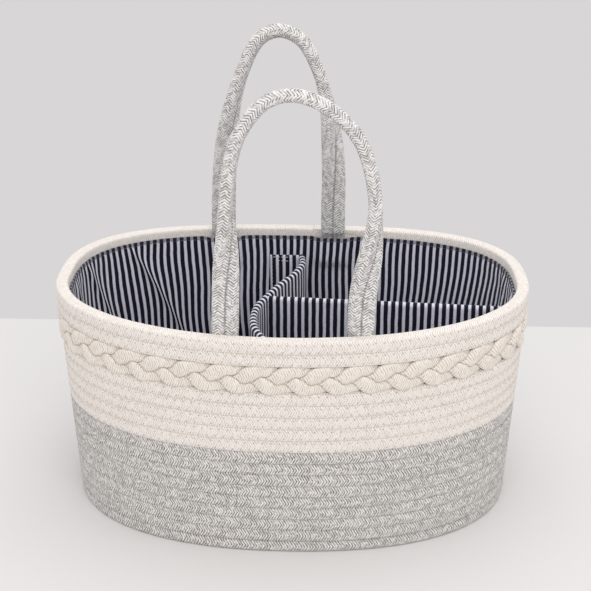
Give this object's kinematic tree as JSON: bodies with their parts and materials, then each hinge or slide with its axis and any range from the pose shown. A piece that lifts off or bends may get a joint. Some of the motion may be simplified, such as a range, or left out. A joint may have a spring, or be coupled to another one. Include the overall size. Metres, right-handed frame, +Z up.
{
  "type": "rope caddy",
  "caption": "Oval cotton rope caddy with a plaited trim, upright rope handles, a striped lining and a lift-out padded divider with tape flaps.",
  "frame": {"origin": "middle of the base, on the surface the caddy stands on", "axes": "+X along the long side towards the long divider panel's end, +Y to the back, +Z up"},
  "size_m": [0.3798, 0.2351, 0.3738],
  "materials": {
    "cream_rope": "matte cotton rope, cream",
    "grey_rope": "matte cotton rope, grey melange",
    "handle_rope": "matte cotton rope, light grey melange",
    "striped_cotton": "woven cotton, fine navy and white stripe",
    "padding_board": "stiff pressed felt",
    "tape_nylon": "hook and loop tape, dark navy"
  },
  "bodies": {
    "caddy": {"base_coil": "grey_rope", "grey_rope_wall": "grey_rope", "cream_rope_wall": "cream_rope", "plait_strand_a": "cream_rope", "plait_strand_b": "cream_rope", "plait_strand_c": "cream_rope", "cream_rope_rim": "cream_rope", "lining_wall": "striped_cotton", "lining_floor": "striped_cotton", "front_handle_tail_left": "handle_rope", "front_handle_tail_right": "handle_rope", "back_handle_tail_left": "handle_rope", "back_handle_tail_right": "handle_rope", "rear_loop_tape": "tape_nylon", "front_loop_tape": "tape_nylon", "end_loop_tape": "tape_nylon"},
    "front_handle": {"front_handle_rope_left": "handle_rope", "front_handle_rope_right": "handle_rope"},
    "back_handle": {"back_handle_rope_left": "handle_rope", "back_handle_rope_right": "handle_rope"},
    "divider": {"cross_panel_cover": "striped_cotton", "cross_panel_core": "padding_board", "long_panel_cover": "striped_cotton", "long_panel_core": "padding_board"},
    "rear_flap": {"rear_flap": "striped_cotton", "rear_hook_tape": "tape_nylon"},
    "front_flap": {"front_flap": "striped_cotton", "front_hook_tape": "tape_nylon"},
    "end_flap": {"end_flap": "striped_cotton", "end_hook_tape": "tape_nylon"}
  },
  "joints": [
    {"name": "front_handle_swing", "type": "hinge", "parent": "caddy", "child": "front_handle", "pos_m": [0.00432, -0.09538, 0.1895], "axis": [0.9999, 0.0128, 0], "range_deg": [-29, 90]},
    {"name": "back_handle_swing", "type": "hinge", "parent": "caddy", "child": "back_handle", "pos_m": [-0.01524, 0.09848, 0.1895], "axis": [-0.9998, -0.0206, 0], "range_deg": [-29, 90]},
    {"name": "divider_lift", "type": "slide", "parent": "caddy", "child": "divider", "axis": [0, 0, 1], "range_m": [0, 0.175]},
    {"name": "rear_flap_peel", "type": "hinge", "parent": "divider", "child": "rear_flap", "pos_m": [0.00118, 0.09987, 0.1115], "axis": [0, 0, 1], "range_deg": [0, 75]},
    {"name": "front_flap_peel", "type": "hinge", "parent": "divider", "child": "front_flap", "pos_m": [0.00381, -0.09966, 0.1115], "axis": [0, 0, 1], "range_deg": [0, 75]},
    {"name": "end_flap_peel", "type": "hinge", "parent": "divider", "child": "end_flap", "pos_m": [0.16918, -0.00383, 0.1115], "axis": [-0.0617, -0.0011, -0.9981], "range_deg": [0, 75]}
  ]
}
